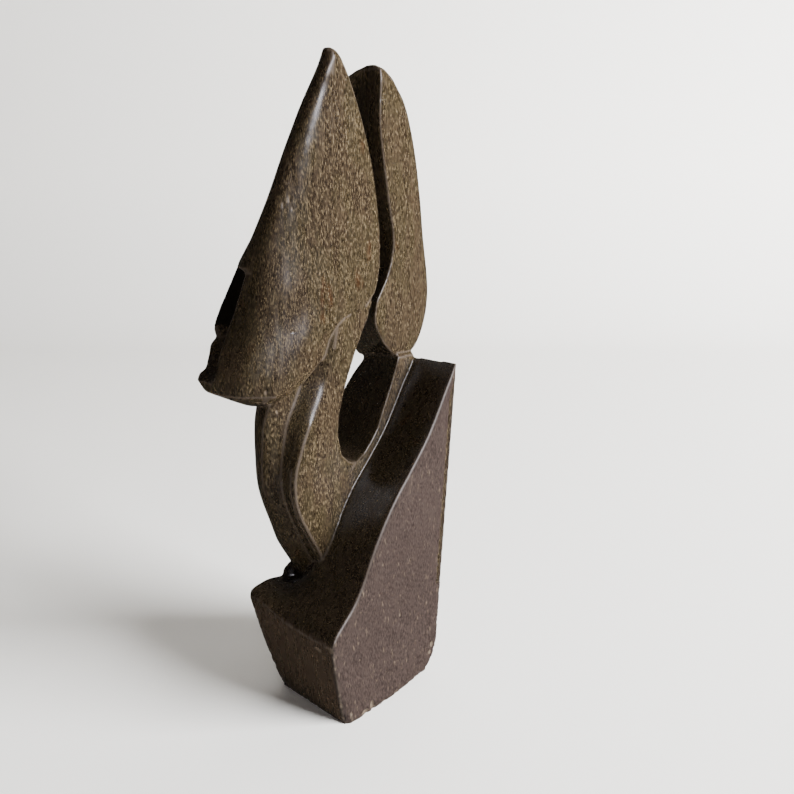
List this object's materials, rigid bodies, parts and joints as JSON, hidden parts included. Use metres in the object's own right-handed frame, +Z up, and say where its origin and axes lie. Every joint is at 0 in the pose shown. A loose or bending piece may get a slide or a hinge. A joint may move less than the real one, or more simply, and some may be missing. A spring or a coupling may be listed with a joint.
{
  "type": "abstract stone face sculpture",
  "caption": "Polished dark stone carving of pointed abstract heads on necks that rise from one slab on a wedge-shaped block; stands by its own weight.",
  "frame": {"origin": "on the underside, midway along the block's foot and on the middle of its low end's width", "axes": "+Z up; the faces look towards -Y; the ramp's low end is at +X and its ledge is on the +Y side"},
  "size_m": [0.1311, 0.0889, 0.2966],
  "materials": {
    "polished_stone": "polished dark flecked serpentine stone"
  },
  "bodies": {
    "root": {"carved_stone": "polished_stone"}
  },
  "joints": []
}
